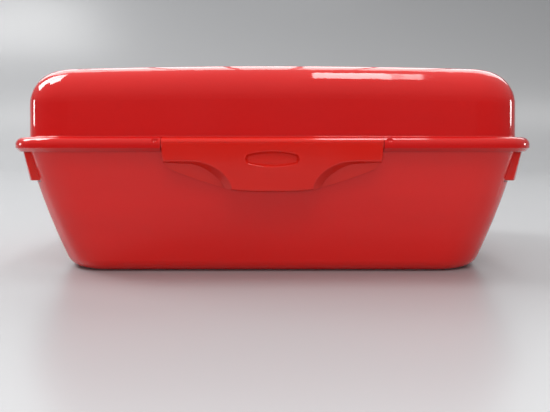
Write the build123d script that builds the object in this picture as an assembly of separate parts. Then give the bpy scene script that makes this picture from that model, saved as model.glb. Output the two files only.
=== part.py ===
from build123d import *
import os

# Hinged clip-lock lunch box in moulded polypropylene, in millimetres.
# X runs along the width, -Y is the front with the latch, +Z is up.
# The origin is the middle of the whole outline, on the surface that the box stands on.
# Each piece is drawn about the middle of the flange, and is moved to that origin when it is written.

# ---- driving dimensions --------------------------------------------------------------------
RIM_HALF_W = 94.1            # half width over the lid's flange
RIM_HALF_D = 65.0            # half depth over the lid's flange
RIM_CORNER_R = 22.0          # plan radius of the flange's corners
LID_TOP_Z = 75.2             # highest point of the crowned lid
FLANGE_BOTTOM_Z = 44.2
FLANGE_TOP_Z = 49.3
RIM_TOP_Z = 46.7             # top edge of the base
WALL = 2.0                   # general wall thickness
GAP = 0.35                   # clearance between parts that move past each other

# ---- base tray -----------------------------------------------------------------------------
BASE_TOP_INSET = 3.7         # base rim, inside the flange's outer edge
BASE_CORNER_R = 20.0
BASE_SLOPE = 0.1705          # inward lean of the wall just under the rim
BASE_CURVE = 0.0018          # extra lean per millimetre further down
BASE_BOTTOM_R = 6.4
BASE_INNER_INSET = 8.6       # upright inner face near the rim
FLOOR_Z = 2.4
FOOT_RECESS = 0.8
FOOT_RECESS_INSET = 30.0
CAVITY_BEND_Z = 31.0         # above this height the inner face is upright

# ---- lid -----------------------------------------------------------------------------------
LID_INSET = 4.15             # lid wall at the flange, inside the flange's outer edge
LID_CORNER_R = 20.0
LID_DRAFT = 2.0              # degrees
LID_TOP_R = 13.0
LID_CROWN_R = 2450.0         # sphere radius of the crowned top
FLANGE_TOP_R = 2.8
FLANGE_CHAMFER = 1.3
FLANGE_ROOT_R = 0.45
SKIRT_INSET = 3.3            # inner face of the flange's skirt
LEDGE_INSET = 9.1            # inner edge of the ledge that holds the seal
LEDGE_TOP_Z = 50.0
LEDGE_BOTTOM_Z = RIM_TOP_Z + 0.25

# ---- seal ----------------------------------------------------------------------------------
SEAL_INSET = 6.6             # outer edge of the groove
SEAL_WIDTH = 1.6
SEAL_TOP_Z = 48.3
SEAL_PLAY = 0.1

# ---- front latch ---------------------------------------------------------------------------
LATCH_HALF_W = 37.6
LATCH_BOTTOM_Z = 30.6        # lowest point of the curved lower edge
LATCH_CORNER_Z = 43.0        # foot of the straight side edges
LATCH_INNER_INSET = 5.95
LATCH_FACE_INSET = 0.05
LATCH_AXIS_INSET = 2.4
LATCH_AXIS_Z = 46.8
LATCH_KNUCKLE_R = LATCH_AXIS_INSET - LATCH_FACE_INSET
LATCH_REAR_TOP_Z = 44.0      # behind its axis, the latch is no higher than this
LATCH_NOTCH_HALF_W = LATCH_HALF_W + 0.2
LATCH_SEAT_GAP = 0.27        # round the latch's outline, in its pocket in the base
LATCH_ROLL_GAP = 0.12        # between the rolled top and the lid's wall
LATCH_PIN_HALF_L = 42.0
LATCH_EDGE_R = 0.9           # rounding of the latch's front edges
CREASE_R = 0.2               # fine groove along the front of the rolled top
CREASE_RISE = 0.6            # its height over the roll's axis
STEP_R = 0.8                 # rounding of the step between the grip and the wings
DIMPLE_R = 1.3               # moulded dimple in the flange beside the latch
DIMPLE_X = 39.7
GRIP_HALF_W = 13.5           # half width of the upright grip at its foot
GRIP_SHOULDER_X = 28.0       # here the grip's curved shoulder meets the latch's upper band
GRIP_SHOULDER_Z = 41.0
GRIP_FOOT_Z = 30.0           # the shoulder's quarter ellipse ends here
STEP_SPREAD = 2.2            # how far the step's foot lies outside its upper edge
WING_INSET = 2.95            # wing surface at WING_TOP_Z, inside the flange's outer edge
WING_TOP_Z = GRIP_SHOULDER_Z - 0.6 * STEP_SPREAD
WING_LEAN = 0.2              # inward lean of the wing surface for each millimetre down
WING_TURN = 4.0              # degrees that each wing turns forwards towards its outer end
RECESS_HALF_W = 9.2          # finger recess in the latch
RECESS_HALF_H = 2.7
RECESS_END_HALF_H = 1.5
RECESS_Z = 41.8
RECESS_DEPTH = 1.2
RECESS_SLOPE = 0.8           # the recess is smaller by this much at its floor
RECESS_LIP_R = 0.45
HOLLOW_INSET = 2.2           # wall left round the hollow behind the grip
HOLLOW_TOP_Z = 37.4

# ---- end clips -----------------------------------------------------------------------------
CLIP_END_INSET = 12.4        # clip ends, behind the flange's front and rear edges
CLIP_BOTTOM_Z = 33.8
CLIP_TOP_Z = 44.1
CLIP_FOOT_CHAMFER = 0.5
CLIP_INNER_INSET = 5.75
CLIP_POCKET_INSET = 6.45
CLIP_OUTER_FOOT_INSET = 3.4
CLIP_OUTER_TOP_INSET = 1.9
CLIP_AXIS_INSET = 3.5
CLIP_AXIS_Z = 42.5
CLIP_KNUCKLE_R = 1.6
CLIP_STRAIGHT_HALF_L = 38.0  # straight part of the clip between its curved ends
CLIP_LUG_Y = 28.0
CLIP_LUG_W = 4.0
CLIP_REAR_RELIEF = 2.6       # the opening lid carries the clips' lower edges forwards by this much
CLIP_END_RELIEF = 1.0        # and their rear ends backwards by this much
CLIP_FLOOR_GAP = 0.5         # under the clips, in their pockets

# ---- rear hinge ----------------------------------------------------------------------------
HINGE_Y = RIM_HALF_D + 1.0
HINGE_Z = 42.0
HINGE_KNUCKLE_R = 2.0
HINGE_X = 50.0
LID_KNUCKLE_W = 12.0
BASE_KNUCKLE_W = 6.0
KNUCKLE_SIDE_GAP = 0.3

# ---- pins ----------------------------------------------------------------------------------
LATCH_PIN_R = 0.6
CLIP_PIN_R = 0.75
HINGE_PIN_R = 0.9
RUNNING_GAP = 0.05
SEATED_GAP = 0.02

TALL = 200.0                 # longer than any part, for cutting tools
CENTRE_SHIFT = (HINGE_Y + HINGE_KNUCKLE_R - RIM_HALF_D) / 2


# ---- shared outlines -----------------------------------------------------------------------
def rim_outline(inset, corner_r, shift_y=0.0):
    """Rounded rectangle, set in from the flange's outer edge."""
    width = 2 * (RIM_HALF_W - inset)
    depth = 2 * (RIM_HALF_D - inset)
    return Pos(0, shift_y) * RectangleRounded(width, depth, corner_r)


def rim_prism(inset, corner_r, low_z, high_z, shift_y=0.0):
    """Upright block with the rim's outline."""
    return extrude(Pos(0, 0, low_z) * rim_outline(inset, corner_r, shift_y), high_z - low_z)


def wall_inset(z):
    """How far the base's curved outer wall is set in at a height."""
    drop = max(0.0, FLANGE_BOTTOM_Z - z)
    return BASE_TOP_INSET + BASE_SLOPE * drop + BASE_CURVE * drop * drop


def block(x_span, y_span, z_span):
    """Box between low and high corners."""
    size = [high - low for low, high in (x_span, y_span, z_span)]
    centre = [(low + high) / 2 for low, high in (x_span, y_span, z_span)]
    return Pos(*centre) * Box(*size)


def rod_x(radius, low_x, high_x, y, z):
    """Cylinder along X."""
    length = high_x - low_x
    return Pos((low_x + high_x) / 2, y, z) * Rot(0, 90, 0) * Cylinder(radius, length)


def rod_y(radius, half_length, x, z):
    """Cylinder along Y, centred on the XZ plane."""
    return Pos(x, 0, z) * Rot(90, 0, 0) * Cylinder(radius, 2 * half_length)


def both_ends(solid):
    """A solid and its mirror image at the other end of the box."""
    return [solid, mirror(solid, Plane.YZ)]


def edges_at_z(solid, z):
    """Edges that lie flat at one height."""
    box_of = [(edge, edge.bounding_box()) for edge in solid.edges()]
    return [edge for edge, box in box_of if abs(box.min.Z - z) < 0.01 and abs(box.max.Z - z) < 0.01]


# ---- base tray -----------------------------------------------------------------------------
def base_outside():
    """Curved tapering outside of the base, with its large bottom radius."""
    heights = [0.0, 11.0, 22.0, 33.0, FLANGE_BOTTOM_Z]
    sections = [Pos(0, 0, z) * rim_outline(wall_inset(z), BASE_CORNER_R) for z in heights]
    body = loft(sections)
    body = fillet(edges_at_z(body, 0.0), BASE_BOTTOM_R)
    return body + rim_prism(BASE_TOP_INSET, BASE_CORNER_R, FLANGE_BOTTOM_Z, RIM_TOP_Z)


def base_cavity():
    """Space inside the base: tapering below, upright near the rim."""
    foot_inset = wall_inset(FLOOR_Z) + WALL + 0.6
    foot = Pos(0, 0, FLOOR_Z) * rim_outline(foot_inset, BASE_CORNER_R)
    bend = Pos(0, 0, CAVITY_BEND_Z) * rim_outline(BASE_INNER_INSET, BASE_CORNER_R)
    lower = loft([foot, bend])
    lower = fillet(edges_at_z(lower, FLOOR_Z), BASE_BOTTOM_R - WALL)
    return lower + rim_prism(BASE_INNER_INSET, BASE_CORNER_R, CAVITY_BEND_Z, RIM_TOP_Z + 1)


def clip_pocket():
    """Upright seat in one end wall that the end clip lies in."""
    low_z = CLIP_BOTTOM_Z - CLIP_FLOOR_GAP
    high_z = RIM_TOP_Z + 1
    reach = RIM_HALF_D - CLIP_END_INSET + GAP
    zone = block((0, TALL), (-reach, reach + CLIP_END_RELIEF), (low_z, high_z))
    keep = rim_prism(CLIP_POCKET_INSET, BASE_CORNER_R, low_z, high_z)
    keep &= rim_prism(CLIP_POCKET_INSET, BASE_CORNER_R, low_z, high_z, -CLIP_REAR_RELIEF)
    front_half = block((0, TALL), (-TALL, 0), (low_z, high_z))
    keep += rim_prism(CLIP_POCKET_INSET, BASE_CORNER_R, low_z, high_z) & front_half
    return zone - keep


def latch_pocket():
    """Upright seat in the front wall that the latch lies in."""
    back_y = -(RIM_HALF_D - LATCH_INNER_INSET - GAP)
    upper = block((-LATCH_NOTCH_HALF_W, LATCH_NOTCH_HALF_W), (-TALL, back_y), (LATCH_CORNER_Z, TALL))
    return latch_outline_prism(LATCH_SEAT_GAP, -TALL, back_y) + upper


def base_hinge_knuckle(centre_x):
    """Arm and knuckle on the rear wall that hold the hinge pin."""
    low_x = centre_x - BASE_KNUCKLE_W / 2
    high_x = centre_x + BASE_KNUCKLE_W / 2
    knuckle = rod_x(HINGE_KNUCKLE_R, low_x, high_x, HINGE_Y, HINGE_Z)
    wall_y = RIM_HALF_D - wall_inset(HINGE_Z - 6) - 0.6
    with BuildSketch(Plane.YZ) as side:
        with BuildLine():
            Polyline((wall_y, HINGE_Z + HINGE_KNUCKLE_R - 0.1), (HINGE_Y, HINGE_Z + HINGE_KNUCKLE_R - 0.1),
                     (HINGE_Y, HINGE_Z - HINGE_KNUCKLE_R), (wall_y, HINGE_Z - 7), close=True)
        make_face()
    arm = Pos(low_x, 0, 0) * extrude(side.sketch, BASE_KNUCKLE_W)
    return knuckle + arm


def hinge_spots():
    """Centres of the base's knuckles, each side of every lid knuckle."""
    step = LID_KNUCKLE_W / 2 + KNUCKLE_SIDE_GAP + BASE_KNUCKLE_W / 2
    return [side * HINGE_X + way * step for side in (-1, 1) for way in (-1, 1)]


def base_tray():
    """Tray that holds the food."""
    body = base_outside() - base_cavity()
    body -= rim_prism(FOOT_RECESS_INSET, BASE_CORNER_R / 2, -1, FOOT_RECESS)
    for pocket in both_ends(clip_pocket()):
        body -= pocket
    body -= latch_pocket()
    for centre_x in hinge_spots():
        body += base_hinge_knuckle(centre_x)
    body -= base_cavity()
    return body - rod_x(HINGE_PIN_R + SEATED_GAP, -TALL, TALL, HINGE_Y, HINGE_Z)


# ---- lid -----------------------------------------------------------------------------------
def dome(inset, low_z, top_z, top_r):
    """Tapering crowned dome, used for the outside and the inside of the lid."""
    start = Pos(0, 0, low_z) * rim_outline(inset, LID_CORNER_R)
    block_up = extrude(start, top_z - low_z + 5, taper=LID_DRAFT)
    crown = Pos(0, 0, top_z - LID_CROWN_R) * Sphere(LID_CROWN_R)
    keep = block((-TALL, TALL), (-TALL, TALL), (low_z - 1, top_z + 1))
    shape = block_up & (crown & keep)
    upper = [edge for edge in shape.edges() if edge.bounding_box().min.Z > top_z - 4]
    return fillet(upper, top_r)


def flange():
    """Bullnose flange round the lid's lower edge."""
    ring = rim_prism(0, RIM_CORNER_R, FLANGE_BOTTOM_Z, FLANGE_TOP_Z)
    ring = fillet(edges_at_z(ring, FLANGE_TOP_Z), FLANGE_TOP_R)
    return chamfer(edges_at_z(ring, FLANGE_BOTTOM_Z), FLANGE_CHAMFER)


def lid_outside():
    """Dome and flange in one, with a rounded inner corner between them."""
    body = flange() + dome(LID_INSET, FLANGE_BOTTOM_Z, LID_TOP_Z, LID_TOP_R)
    dome_reach = RIM_HALF_W - LID_INSET + 0.5
    corner = [edge for edge in edges_at_z(body, FLANGE_TOP_Z) if abs(edge.center().X) < dome_reach]
    return fillet(corner, FLANGE_ROOT_R)


def lid_cavity():
    """Dome space, ledge opening, room for the base's rim, and the seal's groove."""
    inner_top_r = LID_TOP_R - WALL
    space = dome(LID_INSET + WALL, LEDGE_TOP_Z, LID_TOP_Z - WALL, inner_top_r)
    space += rim_prism(LEDGE_INSET, BASE_CORNER_R, LEDGE_BOTTOM_Z - 1, LEDGE_TOP_Z + 0.5)
    space += rim_prism(SKIRT_INSET, RIM_CORNER_R - 1.5, FLANGE_BOTTOM_Z - 1, LEDGE_BOTTOM_Z)
    return space + seal_ring(0.0)


def seal_ring(play):
    """Square-section ring in the lid's ledge, smaller than its groove by some play."""
    top_z = SEAL_TOP_Z - play
    low_z = LEDGE_BOTTOM_Z - 0.1
    outer = rim_prism(SEAL_INSET + play, BASE_CORNER_R, low_z, top_z)
    return outer - rim_prism(SEAL_INSET + SEAL_WIDTH - play, BASE_CORNER_R, low_z, top_z)


def latch_notch():
    """Gap in the flange for the latch, a trough for its rolled top, and a dimple at each side."""
    wall_y = -(RIM_HALF_D - LID_INSET + 0.05)
    skirt_y = -(RIM_HALF_D - SKIRT_INSET - 0.5)
    axis_y = -(RIM_HALF_D - LATCH_AXIS_INSET)
    across = (-LATCH_NOTCH_HALF_W, LATCH_NOTCH_HALF_W)
    notch = block(across, (-TALL, wall_y), (FLANGE_BOTTOM_Z - 1, FLANGE_TOP_Z + 0.5))
    notch += block(across, (-TALL, skirt_y), (FLANGE_BOTTOM_Z - 1, LEDGE_BOTTOM_Z))
    notch += rod_x(LATCH_KNUCKLE_R + LATCH_ROLL_GAP, *across, axis_y, LATCH_AXIS_Z)
    dimple = Pos(DIMPLE_X, -RIM_HALF_D, FLANGE_TOP_Z - 0.8) * Sphere(DIMPLE_R)
    for piece in both_ends(dimple):
        notch += piece
    return notch


def clip_lug(sign_y):
    """Lug under the right-hand skirt that carries the end clip's pin."""
    centre_x = RIM_HALF_W - CLIP_AXIS_INSET
    low_y = sign_y * CLIP_LUG_Y - CLIP_LUG_W / 2
    with BuildSketch(Plane.XZ) as side:
        with Locations((centre_x, CLIP_AXIS_Z)):
            Circle(CLIP_KNUCKLE_R)
        with BuildLine():
            Polyline((centre_x - CLIP_KNUCKLE_R, CLIP_AXIS_Z), (centre_x + CLIP_KNUCKLE_R, CLIP_AXIS_Z),
                     (centre_x + CLIP_KNUCKLE_R, FLANGE_BOTTOM_Z + 0.6),
                     (RIM_HALF_W - SKIRT_INSET + 0.1, FLANGE_BOTTOM_Z + 0.6),
                     (RIM_HALF_W - SKIRT_INSET + 0.1, FLANGE_BOTTOM_Z + 0.1),
                     (centre_x - CLIP_KNUCKLE_R, FLANGE_BOTTOM_Z + 0.1), close=True)
        make_face()
    return Pos(0, low_y + CLIP_LUG_W, 0) * extrude(side.sketch, CLIP_LUG_W)


def lid_hinge_knuckle(centre_x):
    """Arm behind the rear flange that turns on the hinge pin."""
    low_x = centre_x - LID_KNUCKLE_W / 2
    high_x = centre_x + LID_KNUCKLE_W / 2
    knuckle = rod_x(HINGE_KNUCKLE_R, low_x, high_x, HINGE_Y, HINGE_Z)
    inner_y = RIM_HALF_D - SKIRT_INSET + 0.5
    with BuildSketch(Plane.YZ) as side:
        with BuildLine():
            Polyline((inner_y, HINGE_Z + 1.5), (inner_y, FLANGE_BOTTOM_Z + 1),
                     (RIM_HALF_D - 0.4, FLANGE_BOTTOM_Z + 2.6),
                     (HINGE_Y + HINGE_KNUCKLE_R, HINGE_Z), (HINGE_Y, HINGE_Z - 0.5), close=True)
        make_face()
    web = Pos(low_x, 0, 0) * extrude(side.sketch, LID_KNUCKLE_W)
    return knuckle + web


def lid_shell():
    """Domed lid with its flange, lugs and hinge arms."""
    body = lid_outside() - lid_cavity() - latch_notch()
    for sign_y in (-1, 1):
        for lug in both_ends(clip_lug(sign_y)):
            body += lug
    for side in (-1, 1):
        body += lid_hinge_knuckle(side * HINGE_X)
    body -= rod_x(HINGE_PIN_R + RUNNING_GAP, -TALL, TALL, HINGE_Y, HINGE_Z)
    latch_y = -(RIM_HALF_D - LATCH_AXIS_INSET)
    reach = LATCH_PIN_HALF_L + 0.1
    body -= rod_x(LATCH_PIN_R + SEATED_GAP, -reach, reach, latch_y, LATCH_AXIS_Z)
    for side in (-1, 1):
        centre_x = side * (RIM_HALF_W - CLIP_AXIS_INSET)
        body -= rod_y(CLIP_PIN_R + SEATED_GAP, CLIP_STRAIGHT_HALF_L, centre_x, CLIP_AXIS_Z)
    return body


# ---- front latch ---------------------------------------------------------------------------
def latch_outline(margin):
    """Front view of the latch: straight top and sides, rounded corners, long curved lower edge."""
    half = LATCH_HALF_W + margin
    low_z = LATCH_BOTTOM_Z - margin
    with BuildSketch(Plane.XZ) as sketch:
        with BuildLine():
            Line((-half, LATCH_AXIS_Z), (half, LATCH_AXIS_Z))
            for sign in (-1, 1):
                side = Line((sign * half, LATCH_AXIS_Z), (sign * half, LATCH_CORNER_Z))
                corner = ThreePointArc(side @ 1, (sign * (half - 0.9), LATCH_CORNER_Z - 3.1 - margin),
                                       (sign * (half - 3.4), LATCH_CORNER_Z - 5.1 - margin))
                Spline(corner @ 1, (sign * 27.4, low_z + 4.6), (sign * 15.7, low_z + 1.0), (0, low_z),
                       tangents=((-sign, -0.45), (-sign, 0)))
        make_face()
    return sketch.sketch


def latch_outline_prism(margin, front_y, back_y):
    """Latch outline as a block between two depths."""
    outline = Pos(0, back_y, 0) * latch_outline(margin)
    return extrude(outline, back_y - front_y, dir=(0, -1, 0))


def beside_grip(y, spread):
    """Region below the right-hand wing's step, at one depth: beside the grip's curved shoulder."""
    corner_x = GRIP_SHOULDER_X + spread
    foot_x = GRIP_HALF_W + spread
    top_z = GRIP_SHOULDER_Z - 0.6 * spread
    foot_z = GRIP_FOOT_Z - spread
    far_x = LATCH_HALF_W + 8
    low_z = LATCH_BOTTOM_Z - 8
    with BuildSketch(Plane.XZ) as sketch:
        with BuildLine():
            EllipticalCenterArc((corner_x, foot_z), corner_x - foot_x, top_z - foot_z,
                                start_angle=90, arc_size=90)
            Polyline((foot_x, foot_z), (foot_x, low_z), (far_x, low_z), (far_x, top_z), (corner_x, top_z))
        make_face()
    return Pos(0, y, 0) * sketch.sketch


def wing_cut():
    """Material left out beside the grip, so that the wing follows the base's leaning wall."""
    face_y = -(RIM_HALF_D - LATCH_FACE_INSET)
    wing_y = -(RIM_HALF_D - WING_INSET)
    upper = beside_grip(face_y, 0)
    foot = beside_grip(wing_y, STEP_SPREAD)
    zone = loft([upper, foot]) + extrude(upper, 5, dir=(0, -1, 0)) + extrude(foot, 5, dir=(0, 1, 0))
    low_z = LATCH_BOTTOM_Z - 10
    low_y = wing_y + WING_LEAN * (WING_TOP_Z - low_z)
    high_y = wing_y - WING_LEAN * 5
    with BuildSketch(Plane.YZ) as side:
        with BuildLine():
            Polyline((-TALL, WING_TOP_Z + 5), (high_y, WING_TOP_Z + 5), (low_y, low_z), (-TALL, low_z),
                     close=True)
        make_face()
    pivot = Pos(GRIP_HALF_W + STEP_SPREAD, wing_y)
    return zone & (pivot * Rot(0, 0, -WING_TURN) * Pos(-TALL / 4, -wing_y) * extrude(side.sketch, TALL / 2))


def recess_outline(y, shrink):
    """Long outline with bowed top and bottom and blunt rounded ends."""
    half_w = RECESS_HALF_W - shrink
    half_h = RECESS_HALF_H - shrink
    end_h = RECESS_END_HALF_H - shrink / 2
    with BuildSketch(Plane.XZ) as sketch:
        with BuildLine():
            for sign in (-1, 1):
                ThreePointArc((-half_w + end_h / 2, RECESS_Z + sign * end_h),
                              (0, RECESS_Z + sign * half_h),
                              (half_w - end_h / 2, RECESS_Z + sign * end_h))
                ThreePointArc((sign * (half_w - end_h / 2), RECESS_Z - end_h), (sign * half_w, RECESS_Z),
                              (sign * (half_w - end_h / 2), RECESS_Z + end_h))
        make_face()
    return Pos(0, y, 0) * sketch.sketch


def face_edges(body, low_z, high_z):
    """Edges that lie wholly in the latch's front plane, between two heights."""
    face_y = -(RIM_HALF_D - LATCH_FACE_INSET)
    found = []
    for edge in body.edges():
        box = edge.bounding_box()
        in_plane = box.max.Y < face_y + 0.01
        if in_plane and box.min.Z > low_z - 0.01 and box.max.Z < high_z + 0.01:
            found.append(edge)
    return found


def latch_plate():
    """Upright grip and thin wings, with a rounded step between them and rounded outer edges."""
    face_y = -(RIM_HALF_D - LATCH_FACE_INSET)
    inner_y = -(RIM_HALF_D - LATCH_INNER_INSET)
    full = latch_outline_prism(0, face_y, inner_y)
    body = full
    for cut in both_ends(wing_cut()):
        body -= cut
    step = [edge for edge in face_edges(body, GRIP_FOOT_Z, GRIP_SHOULDER_Z)
            if edge.geom_type != GeomType.BSPLINE and edge.bounding_box().size.X > STEP_R]
    body = fillet(step, STEP_R)
    outline = [edge for edge in face_edges(full, 0, TALL) if edge.center().Z < LATCH_AXIS_Z - 0.01]
    return body & fillet(outline, LATCH_EDGE_R)


def front_latch():
    """Wide flap with a rolled top, an upright grip, thin wings and a finger recess."""
    face_y = -(RIM_HALF_D - LATCH_FACE_INSET)
    inner_y = -(RIM_HALF_D - LATCH_INNER_INSET)
    axis_y = -(RIM_HALF_D - LATCH_AXIS_INSET)
    body = latch_plate()
    body -= block((-TALL, TALL), (axis_y, 0), (LATCH_REAR_TOP_Z, TALL))
    body += rod_x(LATCH_KNUCKLE_R, -LATCH_HALF_W, LATCH_HALF_W, axis_y, LATCH_AXIS_Z)
    hollow = latch_outline_prism(-HOLLOW_INSET, face_y + WALL, inner_y)
    body -= hollow & block((-GRIP_HALF_W, GRIP_HALF_W), (-TALL, 0), (LATCH_BOTTOM_Z, HOLLOW_TOP_Z))
    body -= loft([recess_outline(face_y, 0), recess_outline(face_y + RECESS_DEPTH, RECESS_SLOPE)])
    lip = [edge for edge in face_edges(body, RECESS_Z - RECESS_HALF_H, RECESS_Z + RECESS_HALF_H)
           if abs(edge.center().X) < RECESS_HALF_W]
    body = fillet(lip, RECESS_LIP_R)
    crease_y = axis_y - (LATCH_KNUCKLE_R ** 2 - CREASE_RISE ** 2) ** 0.5
    body -= rod_x(CREASE_R, -LATCH_HALF_W, LATCH_HALF_W, crease_y, LATCH_AXIS_Z + CREASE_RISE)
    return body - rod_x(LATCH_PIN_R + RUNNING_GAP, -TALL, TALL, axis_y, LATCH_AXIS_Z)


# ---- end clips -----------------------------------------------------------------------------
def right_clip():
    """Clip that follows the end wall and the start of its corners."""
    foot = Pos(0, 0, CLIP_BOTTOM_Z) * rim_outline(CLIP_OUTER_FOOT_INSET, BASE_CORNER_R + 2)
    top = Pos(0, 0, CLIP_TOP_Z) * rim_outline(CLIP_OUTER_TOP_INSET, BASE_CORNER_R + 2)
    body = loft([foot, top])
    body -= rim_prism(CLIP_INNER_INSET, BASE_CORNER_R, CLIP_BOTTOM_Z - 1, CLIP_TOP_Z + 1)
    reach = RIM_HALF_D - CLIP_END_INSET
    body &= block((0, TALL), (-reach, reach), (CLIP_BOTTOM_Z - 1, CLIP_TOP_Z + 1))
    ends = [edge for edge in edges_at_z(body, CLIP_BOTTOM_Z) if abs(edge.center().Y) > reach - 0.01]
    body = chamfer(ends, CLIP_FOOT_CHAMFER)
    axis_x = RIM_HALF_W - CLIP_AXIS_INSET
    roll = rod_y(CLIP_KNUCKLE_R, TALL / 2, axis_x, CLIP_AXIS_Z)
    body -= block((axis_x, TALL), (-TALL / 2, TALL / 2), (CLIP_AXIS_Z, TALL)) - roll
    body -= block((0, TALL), (-CLIP_STRAIGHT_HALF_L, CLIP_STRAIGHT_HALF_L), (CLIP_AXIS_Z, TALL))
    body += rod_y(CLIP_KNUCKLE_R, CLIP_STRAIGHT_HALF_L, axis_x, CLIP_AXIS_Z)
    side_gap = KNUCKLE_SIDE_GAP + CLIP_LUG_W / 2
    for centre_y in (-CLIP_LUG_Y, CLIP_LUG_Y):
        body -= block((0, TALL), (centre_y - side_gap, centre_y + side_gap),
                      (CLIP_AXIS_Z - CLIP_KNUCKLE_R - GAP, TALL))
    return body - rod_y(CLIP_PIN_R + RUNNING_GAP, TALL, axis_x, CLIP_AXIS_Z)


# ---- pins ----------------------------------------------------------------------------------
def latch_pin():
    """Steel pin through the latch's rolled top, seated in the flange at both ends."""
    axis_y = -(RIM_HALF_D - LATCH_AXIS_INSET)
    return rod_x(LATCH_PIN_R, -LATCH_PIN_HALF_L, LATCH_PIN_HALF_L, axis_y, LATCH_AXIS_Z)


def right_clip_pin():
    """Steel pin through the end clip and its two lugs."""
    axis_x = RIM_HALF_W - CLIP_AXIS_INSET
    return rod_y(CLIP_PIN_R, CLIP_STRAIGHT_HALF_L - 1, axis_x, CLIP_AXIS_Z)


def hinge_pin(side):
    """Steel pin through one set of hinge knuckles."""
    reach = LID_KNUCKLE_W / 2 + KNUCKLE_SIDE_GAP + BASE_KNUCKLE_W - 0.4
    centre_x = side * HINGE_X
    return rod_x(HINGE_PIN_R, centre_x - reach, centre_x + reach, HINGE_Y, HINGE_Z)


# ---- nodes ---------------------------------------------------------------------------------
def main():
    """Write one file for each separate piece."""
    right, left = both_ends(right_clip())
    right_pin, left_pin = both_ends(right_clip_pin())
    nodes = {
        "base_tray": base_tray(),
        "lid_shell": lid_shell(),
        "lid_seal": seal_ring(SEAL_PLAY),
        "front_latch": front_latch(),
        "front_latch_pin": latch_pin(),
        "right_end_clip": right,
        "right_clip_pin": right_pin,
        "left_end_clip": left,
        "left_clip_pin": left_pin,
        "right_hinge_pin": hinge_pin(1),
        "left_hinge_pin": hinge_pin(-1),
    }
    os.makedirs("parts", exist_ok=True)
    for name, solid in nodes.items():
        export_step(Pos(0, -CENTRE_SHIFT, 0) * solid, f"parts/{name}.step")


main()
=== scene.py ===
import math

import bpy
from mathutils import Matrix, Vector


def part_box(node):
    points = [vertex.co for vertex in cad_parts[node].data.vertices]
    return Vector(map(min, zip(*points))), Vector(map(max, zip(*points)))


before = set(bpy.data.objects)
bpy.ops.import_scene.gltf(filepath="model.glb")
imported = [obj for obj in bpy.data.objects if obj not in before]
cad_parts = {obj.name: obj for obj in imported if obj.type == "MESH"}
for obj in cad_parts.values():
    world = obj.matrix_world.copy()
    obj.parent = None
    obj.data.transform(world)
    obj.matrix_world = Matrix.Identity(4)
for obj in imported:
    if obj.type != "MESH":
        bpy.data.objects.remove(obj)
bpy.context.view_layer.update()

# Places and lengths are in metres, angles in degrees, colours linear, and radiance in watts per
# steradian and square metre. The box stands on the floor over the origin, its front towards -Y.

# ---- camera --------------------------------------------------------------------------------
CAMERA_LENS = 39.3           # millimetres
CAMERA_SENSOR = 36.0         # millimetres
CAMERA_BACK = 0.2032         # in front of the flange's front edge
CAMERA_HEIGHT = 0.0465
CAMERA_RIGHT = 0.0009
CAMERA_TILT = 5.8            # below level
CAMERA_NEAR = 0.01
CAMERA_FAR = 30.0

# ---- windows behind the box ----------------------------------------------------------------
WINDOW_COUNT = 12
WINDOW_PITCH = 0.256
WINDOW_GAP = 0.022
WINDOW_SHIFT = 0.089
WINDOW_Y = 1.5
WINDOW_LOW_Z = 0.5
WINDOW_HIGH_Z = 2.2
WINDOW_AIM_DROP = 0.4        # below the middle of the window
WINDOW_RADIANCE = 2.6

# ---- overhead strips, side by side ---------------------------------------------------------
STRIP_Y = -0.04
STRIP_Z = 1.0
STRIP_LENGTH = 0.42

# ---- room and floor ------------------------------------------------------------------------
ROOM_BELOW = (0.12, 0.12, 0.13)
ROOM_ABOVE = (0.80, 0.79, 0.77)
TABLE_GREY = (0.35, 0.355, 0.365)
TABLE_ROUGHNESS = 0.3
FLOOR_HALF_WIDTH = 6.0
FLOOR_NEAR_Y = -6.0
BACKDROP_BEND_Y = 0.75       # where the floor starts to rise
BACKDROP_BEND_R = 0.5
BACKDROP_TOP_Z = 0.62
BACKDROP_STEPS = 12

# ---- material colours ----------------------------------------------------------------------
LID_RED = (0.55, 0.0055, 0.0045)
BASE_RED = (0.67, 0.0100, 0.0070)
LATCH_RED = (0.62, 0.0090, 0.0030)
SILICONE_WHITE = (0.72, 0.70, 0.65)
STEEL_GREY = (0.58, 0.58, 0.60)

# ---- roughness, from polished to rubbed ----------------------------------------------------
LID_ROUGHNESS = (0.035, 0.10)
BASE_ROUGHNESS = (0.13, 0.24)
LATCH_ROUGHNESS = (0.06, 0.14)
SILICONE_ROUGHNESS = (0.40, 0.55)
STEEL_ROUGHNESS = (0.22, 0.42)

# ---- wear: how much fine rubbing marks count against broad smears --------------------------
FINE_MARKS = 0.25
BROAD_MARKS = 0.5
RUBBED_RANGE = (0.55, 0.8)   # noise at which a rubbing mark starts and is full

# ---- relief of the surfaces ----------------------------------------------------------------
SINK_DEPTH = 0.00035
PEEL_DEPTH = 0.000012
DUST_DEPTH = 0.00003
WIRE_LINE_DEPTH = 0.00001

NOISE_SPREAD = (0.3, 0.7)    # range that holds nearly all of a noise's values
POLYPROPYLENE_IOR = 1.49


# ---- camera, lights and table --------------------------------------------------------------
def add_camera():
    """Camera in front of the box, about level with its flange and tipped down a little."""
    data = bpy.data.cameras.new("camera")
    data.lens = CAMERA_LENS
    data.sensor_width = CAMERA_SENSOR
    data.clip_start = CAMERA_NEAR
    data.clip_end = CAMERA_FAR
    camera = bpy.data.objects.new("camera", data)
    bpy.context.collection.objects.link(camera)
    front_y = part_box("lid_shell")[0].y
    camera.location = (CAMERA_RIGHT, front_y - CAMERA_BACK, CAMERA_HEIGHT)
    camera.rotation_euler = (math.radians(90 - CAMERA_TILT), 0, 0)
    bpy.context.scene.camera = camera


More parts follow.
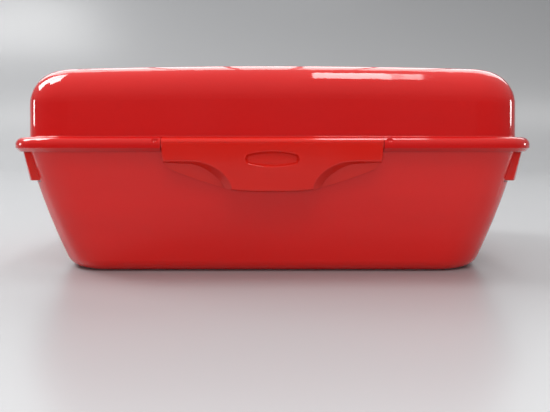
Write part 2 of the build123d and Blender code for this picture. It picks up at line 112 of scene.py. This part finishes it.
def add_panel(name, centre, aim, size, radiance):
    """Rectangular light of a given width and height, which shows in reflections."""
    width, height = size
    data = bpy.data.lights.new(name, "AREA")
    data.shape = "RECTANGLE"
    data.size = width
    data.size_y = height
    data.energy = radiance * math.pi * width * height
    lamp = bpy.data.objects.new(name, data)
    bpy.context.collection.objects.link(lamp)
    lamp.location = centre
    lamp.rotation_euler = (Vector(aim) - Vector(centre)).to_track_quat("-Z", "Y").to_euler()
    return lamp


def add_back_windows():
    """Row of tall windows behind the box, with thin bars between them."""
    middle_z = (WINDOW_LOW_Z + WINDOW_HIGH_Z) / 2
    size = (WINDOW_PITCH - WINDOW_GAP, WINDOW_HIGH_Z - WINDOW_LOW_Z)
    for index in range(WINDOW_COUNT):
        x = (index - (WINDOW_COUNT - 1) / 2) * WINDOW_PITCH + WINDOW_SHIFT
        centre = (x, WINDOW_Y, middle_z)
        aim = (x, 0, middle_z - WINDOW_AIM_DROP)
        add_panel(f"back_window_{index}", centre, aim, size, WINDOW_RADIANCE)


def add_strip(name, x, width, radiance):
    """Strip of light overhead, to the right of the box, running from front to back."""
    add_panel(name, (x, STRIP_Y, STRIP_Z), (x, STRIP_Y, 0), (width, STRIP_LENGTH), radiance)


def add_softboxes():
    """Overhead strips, windows on the left and a glint on each side, all seen in the gloss."""
    add_strip("overhead_wide", x=0.159, width=0.155, radiance=10.0)
    add_strip("overhead_narrow", x=0.268, width=0.049, radiance=7.0)
    lid = (0, 0, 0.06)
    add_panel("left_window", centre=(-1.1, 0.1, 1.32), aim=lid, size=(0.34, 0.45), radiance=14.0)
    add_panel("left_rear_window", centre=(-1.2, 0.5, 1.2), aim=lid, size=(0.5, 1.1), radiance=9.0)
    for side in (-1, 1):
        centre = (side * 1.2, 0.44, 0.19)
        add_panel(f"side_glint_{side}", centre, aim=lid, size=(0.12, 0.13), radiance=9.0)


def add_fills():
    """High key and low fill from the front, which light the box and leave no highlight."""
    key = add_panel("front_key", centre=(0.1, -0.9, 1.3), aim=(0, 0, 0.05), size=(0.9, 0.5), radiance=4.8)
    fill = add_panel("front_fill", centre=(0, -1.3, 0.2), aim=(0, 0, 0.04), size=(1.2, 0.3), radiance=4.6)
    for lamp in (key, fill):
        lamp.visible_glossy = False


def add_world():
    """Soft room light, dim from below and brighter overhead."""
    world = bpy.data.worlds.new("room")
    world.use_nodes = True
    nodes = world.node_tree.nodes
    links = world.node_tree.links
    place = nodes.new("ShaderNodeTexCoord")
    split = nodes.new("ShaderNodeSeparateXYZ")
    ramp = nodes.new("ShaderNodeValToRGB")
    below, above = ramp.color_ramp.elements
    below.color = (*ROOM_BELOW, 1)
    above.color = (*ROOM_ABOVE, 1)
    links.new(place.outputs["Generated"], split.inputs["Vector"])
    links.new(split.outputs["Z"], ramp.inputs["Fac"])
    links.new(ramp.outputs["Color"], nodes["Background"].inputs["Color"])
    bpy.context.scene.world = world


def floor_profile():
    """Line of the floor and backdrop from front to back, as (y, z) points."""
    profile = [(FLOOR_NEAR_Y, 0.0), (BACKDROP_BEND_Y, 0.0)]
    for step in range(1, BACKDROP_STEPS + 1):
        turn = math.radians(90 * step / BACKDROP_STEPS)
        y = BACKDROP_BEND_Y + BACKDROP_BEND_R * math.sin(turn)
        z = BACKDROP_BEND_R * (1 - math.cos(turn))
        profile.append((y, z))
    profile.append((BACKDROP_BEND_Y + BACKDROP_BEND_R, BACKDROP_TOP_Z))
    return profile


def add_floor():
    """Plain pale table top with a soft sheen, which rises into a backdrop behind the box."""
    profile = floor_profile()
    verts = [(side * FLOOR_HALF_WIDTH, y, z) for y, z in profile for side in (-1, 1)]
    faces = [(2 * i, 2 * i + 1, 2 * i + 3, 2 * i + 2) for i in range(len(profile) - 1)]
    mesh = bpy.data.meshes.new("floor")
    mesh.from_pydata(verts, [], faces)
    for polygon in mesh.polygons:
        polygon.use_smooth = True
    floor = bpy.data.objects.new("floor", mesh)
    bpy.context.collection.objects.link(floor)
    mesh.materials.append(new_material("pale_table", TABLE_GREY, TABLE_ROUGHNESS)[0])


# ---- material parts ------------------------------------------------------------------------
def new_material(name, colour, roughness):
    """Material of one colour and roughness, with its shader, nodes and links for adding detail."""
    material = bpy.data.materials.new(name)
    material.use_nodes = True
    nodes = material.node_tree.nodes
    links = material.node_tree.links
    shader = nodes["Principled BSDF"]
    shader.inputs["Base Color"].default_value = (*colour, 1)
    shader.inputs["Roughness"].default_value = roughness
    return material, shader, nodes, links


def scatter_inside(shader, weight, reach, scale):
    """Light under the surface: its share, and how far each colour goes, as multiples of a length."""
    shader.inputs["Subsurface Weight"].default_value = weight
    shader.inputs["Subsurface Radius"].default_value = reach
    shader.inputs["Subsurface Scale"].default_value = scale


def noise(nodes, links, scale, detail, stretch=(1, 1, 1)):
    """Noise fixed to the piece, in cycles per metre, stretched along axes whose factor is under 1."""
    place = nodes.new("ShaderNodeTexCoord")
    mapping = nodes.new("ShaderNodeMapping")
    mapping.inputs["Scale"].default_value = stretch
    texture = nodes.new("ShaderNodeTexNoise")
    texture.inputs["Scale"].default_value = scale
    texture.inputs["Detail"].default_value = detail
    links.new(place.outputs["Object"], mapping.inputs["Vector"])
    links.new(mapping.outputs["Vector"], texture.inputs["Vector"])
    return texture.outputs["Fac"]


def ranged(nodes, links, value, source, target):
    """Value moved from its source range to a target range, and held inside it."""
    scale = nodes.new("ShaderNodeMapRange")
    scale.inputs["From Min"].default_value = source[0]
    scale.inputs["From Max"].default_value = source[1]
    scale.inputs["To Min"].default_value = target[0]
    scale.inputs["To Max"].default_value = target[1]
    links.new(value, scale.inputs["Value"])
    return scale.outputs["Result"]


def added(nodes, links, first, second):
    """Sum of two values."""
    total = nodes.new("ShaderNodeMath")
    total.operation = "ADD"
    links.new(first, total.inputs[0])
    links.new(second, total.inputs[1])
    return total.outputs["Value"]


def tint(nodes, links, shader, value, colour, dark, light):
    """Colour that varies between a darker and a lighter shade of itself."""
    ramp = nodes.new("ShaderNodeValToRGB")
    for element, position, shade in zip(ramp.color_ramp.elements, NOISE_SPREAD, (dark, light)):
        element.position = position
        element.color = (*[min(1.0, shade * part) for part in colour], 1)
    links.new(value, ramp.inputs["Fac"])
    links.new(ramp.outputs["Color"], shader.inputs["Base Color"])


def roughen(nodes, links, shader, value, source, target):
    """Roughness that follows a value, from polished to rubbed."""
    links.new(ranged(nodes, links, value, source, target), shader.inputs["Roughness"])


def bump(nodes, links, height, strength, distance, under=None):
    """Bump node, laid over another one's normal if given."""
    node = nodes.new("ShaderNodeBump")
    node.inputs["Strength"].default_value = strength
    node.inputs["Distance"].default_value = distance
    links.new(height, node.inputs["Height"])
    if under is not None:
        links.new(under, node.inputs["Normal"])
    return node.outputs["Normal"]


# ---- materials -----------------------------------------------------------------------------
def wear_marks(nodes, links):
    """Fine rubbing marks and broad smears, from none to the sum of both."""
    rubbing = noise(nodes, links, scale=900.0, detail=2.0, stretch=(0.04, 0.04, 1.0))
    smears = noise(nodes, links, scale=45.0, detail=3.0)
    fine = ranged(nodes, links, rubbing, RUBBED_RANGE, (0.0, FINE_MARKS))
    broad = ranged(nodes, links, smears, NOISE_SPREAD, (0.0, BROAD_MARKS))
    return added(nodes, links, fine, broad)


def moulded_relief(nodes, links):
    """Slow sink marks with a fine orange peel over them."""
    sink = noise(nodes, links, scale=28.0, detail=1.0)
    peel = noise(nodes, links, scale=650.0, detail=1.0)
    slow = bump(nodes, links, sink, strength=0.25, distance=SINK_DEPTH)
    return bump(nodes, links, peel, strength=0.5, distance=PEEL_DEPTH, under=slow)


def glossy_plastic(name, colour, roughness):
    """Moulded polypropylene: flow shading, sink marks, orange peel and rubbing marks."""
    material, shader, nodes, links = new_material(name, colour, roughness[0])
    shader.inputs["IOR"].default_value = POLYPROPYLENE_IOR
    scatter_inside(shader, weight=0.12, reach=(1.0, 0.12, 0.08), scale=0.0025)
    flow = noise(nodes, links, scale=22.0, detail=3.0, stretch=(0.35, 0.35, 1.6))
    tint(nodes, links, shader, flow, colour, dark=0.93, light=1.06)
    wear_range = (0.0, FINE_MARKS + BROAD_MARKS)
    roughen(nodes, links, shader, wear_marks(nodes, links), wear_range, roughness)
    links.new(moulded_relief(nodes, links), shader.inputs["Normal"])
    return material


def silicone():
    """Soft pale silicone, slightly dusty."""
    material, shader, nodes, links = new_material("silicone", SILICONE_WHITE, SILICONE_ROUGHNESS[0])
    scatter_inside(shader, weight=0.3, reach=(1.0, 0.8, 0.6), scale=0.001)
    dust = noise(nodes, links, scale=300.0, detail=4.0)
    tint(nodes, links, shader, dust, SILICONE_WHITE, dark=0.92, light=1.04)
    roughen(nodes, links, shader, dust, NOISE_SPREAD, SILICONE_ROUGHNESS)
    links.new(bump(nodes, links, dust, strength=0.2, distance=DUST_DEPTH), shader.inputs["Normal"])
    return material


def drawn_steel(name, along):
    """Drawn wire with fine lines along its length."""
    material, shader, nodes, links = new_material(name, STEEL_GREY, STEEL_ROUGHNESS[0])
    shader.inputs["Metallic"].default_value = 1.0
    stretch = [0.02 if axis == along else 1.0 for axis in "xyz"]
    lines = noise(nodes, links, scale=2500.0, detail=3.0, stretch=stretch)
    tint(nodes, links, shader, lines, STEEL_GREY, dark=0.85, light=1.1)
    roughen(nodes, links, shader, lines, NOISE_SPREAD, STEEL_ROUGHNESS)
    links.new(bump(nodes, links, lines, strength=0.2, distance=WIRE_LINE_DEPTH), shader.inputs["Normal"])
    return material


def dress(names, material):
    """Give CAD pieces their material."""
    for name in names:
        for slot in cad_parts[name].material_slots:
            slot.material = material


def dress_all():
    """Materials of every piece."""
    dress(["lid_shell"], glossy_plastic("lid_plastic", LID_RED, LID_ROUGHNESS))
    dress(["base_tray"], glossy_plastic("base_plastic", BASE_RED, BASE_ROUGHNESS))
    latches = ["front_latch", "left_end_clip", "right_end_clip"]
    dress(latches, glossy_plastic("latch_plastic", LATCH_RED, LATCH_ROUGHNESS))
    dress(["lid_seal"], silicone())
    dress(["front_latch_pin", "left_hinge_pin", "right_hinge_pin"], drawn_steel("steel_across", "x"))
    dress(["left_clip_pin", "right_clip_pin"], drawn_steel("steel_along", "y"))


add_camera()
add_back_windows()
add_softboxes()
add_fills()
add_world()
add_floor()
dress_all()
bpy.context.scene.view_settings.view_transform = "Standard"
